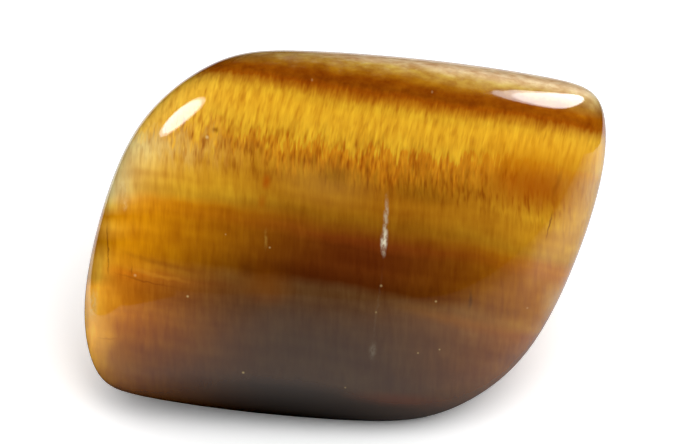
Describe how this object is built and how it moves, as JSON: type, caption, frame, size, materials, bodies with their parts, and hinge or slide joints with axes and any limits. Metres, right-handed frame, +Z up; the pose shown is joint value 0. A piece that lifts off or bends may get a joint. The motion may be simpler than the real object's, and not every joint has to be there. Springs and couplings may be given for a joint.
{
  "type": "tumbled tiger's eye stone",
  "caption": "Smooth tumbled and polished tiger's eye pebble, a leaning lozenge with golden fibrous bands, resting on its long edge.",
  "frame": {"origin": "middle of the stone's box, on the surface that it rests on", "axes": "+X along the stone's longest extent, +Y to the back, +Z up; the banded broad face looks to -Y and a little up"},
  "size_m": [0.0352, 0.0198, 0.0235],
  "materials": {
    "stone": "glossy polished, golden brown with silky fibrous bands"
  },
  "bodies": {
    "root": {"tumbled_tigers_eye": "stone"}
  },
  "joints": []
}
